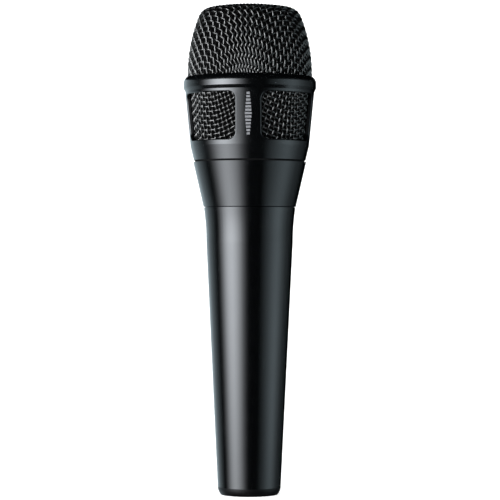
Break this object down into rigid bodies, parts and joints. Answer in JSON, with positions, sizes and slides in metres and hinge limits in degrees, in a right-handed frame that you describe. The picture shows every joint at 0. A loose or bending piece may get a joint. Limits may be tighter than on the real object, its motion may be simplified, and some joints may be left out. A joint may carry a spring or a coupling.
{
  "type": "dynamic microphone",
  "caption": "Handheld dynamic vocal microphone: woven dome grille that unscrews, slotted ring, tapered handle, sprung capsule and a tail socket.",
  "frame": {"origin": "centre of the tail, on the face the microphone stands on", "axes": "+Z along the microphone, from the tail to the crown of the grille; -Y is the front rib; the locking screw is at +Y"},
  "size_m": [0.0514, 0.0514, 0.1899],
  "materials": {
    "handle_paint": "satin",
    "tail_coat": "matte",
    "frame_coat": "satin",
    "wire_coat": "satin",
    "foam": "matte",
    "clamp_steel": "satin",
    "core_alloy": "satin",
    "seal_rubber": "matte",
    "mount_rubber": "matte",
    "capsule_shell": "satin",
    "capsule_plastic": "matte",
    "soft_iron": "satin",
    "magnet_nickel": "polished",
    "coil_wire": "satin",
    "diaphragm_film": "gloss",
    "board_laminate": "satin",
    "solder_tin": "satin",
    "socket_shell": "satin",
    "socket_insert": "matte",
    "contact_gold": "polished",
    "screw_steel": "satin",
    "lead_red": "satin",
    "lead_blue": "satin",
    "lead_black": "satin"
  },
  "bodies": {
    "handle_body": {"tail_ring": "tail_coat", "connector_shell": "socket_shell", "connector_insulator": "socket_insert", "contact_pin_hot": "contact_gold", "contact_pin_cold": "contact_gold", "contact_pin_ground": "contact_gold", "ground_tab": "solder_tin", "connector_screw": "screw_steel", "handle": "handle_paint", "neck_core": "core_alloy", "neck_ring": "handle_paint", "terminal_board": "board_laminate", "board_posts": "solder_tin", "air_chamber": "capsule_shell", "upper_shock_mount": "mount_rubber", "lower_shock_mount": "mount_rubber", "lead_hot": "lead_red", "lead_cold": "lead_blue", "lead_ground": "lead_black", "capsule_leads": "lead_black"},
    "gasket": {"grille_gasket": "seal_rubber"},
    "grille": {"grille_frame": "frame_coat", "grille_mesh": "wire_coat", "dome_foam": "foam", "mesh_clamp_ring": "clamp_steel", "side_mesh": "wire_coat", "side_foam": "foam"},
    "capsule": {"capsule_sleeve": "capsule_shell", "capsule_base": "clamp_steel", "capsule_spacer": "capsule_plastic", "rear_yoke": "soft_iron", "rear_magnet": "magnet_nickel", "rear_pole_plate": "soft_iron", "rear_basket": "capsule_plastic", "rear_cap": "capsule_plastic", "front_yoke": "soft_iron", "front_magnet": "magnet_nickel", "front_pole_plate": "soft_iron", "front_basket": "capsule_plastic", "front_cap": "capsule_plastic"},
    "rear_coil": {"rear_voice_coil": "coil_wire", "rear_diaphragm": "diaphragm_film"},
    "front_coil": {"front_voice_coil": "coil_wire", "front_diaphragm": "diaphragm_film"}
  },
  "joints": [
    {"name": "grille_rise", "type": "slide", "parent": "handle_body", "child": "gasket", "axis": [0, 0, 1], "range_m": [0, 0.0053]},
    {"name": "grille_turn", "type": "hinge", "parent": "gasket", "child": "grille", "pos_m": [0, 0, 0.1295], "axis": [0, 0, 1], "range_deg": [0, 1260]},
    {"name": "capsule_float", "type": "slide", "parent": "handle_body", "child": "capsule", "axis": [0, 0, 1], "range_m": [-0.0008, 0.0008], "stiffness_N_per_m": 6000, "deforming": ["upper_shock_mount", "lower_shock_mount", "capsule_leads"]},
    {"name": "rear_coil_travel", "type": "slide", "parent": "capsule", "child": "rear_coil", "axis": [0, 0, 1], "range_m": [-0.00025, 0.00025], "stiffness_N_per_m": 400},
    {"name": "front_coil_travel", "type": "slide", "parent": "capsule", "child": "front_coil", "axis": [0, 0, 1], "range_m": [-0.00025, 0.00025], "stiffness_N_per_m": 400}
  ],
  "couplings": [
    {"joint": "grille_rise", "follows": "grille_turn", "m_per_rad": 0.00023873}
  ]
}
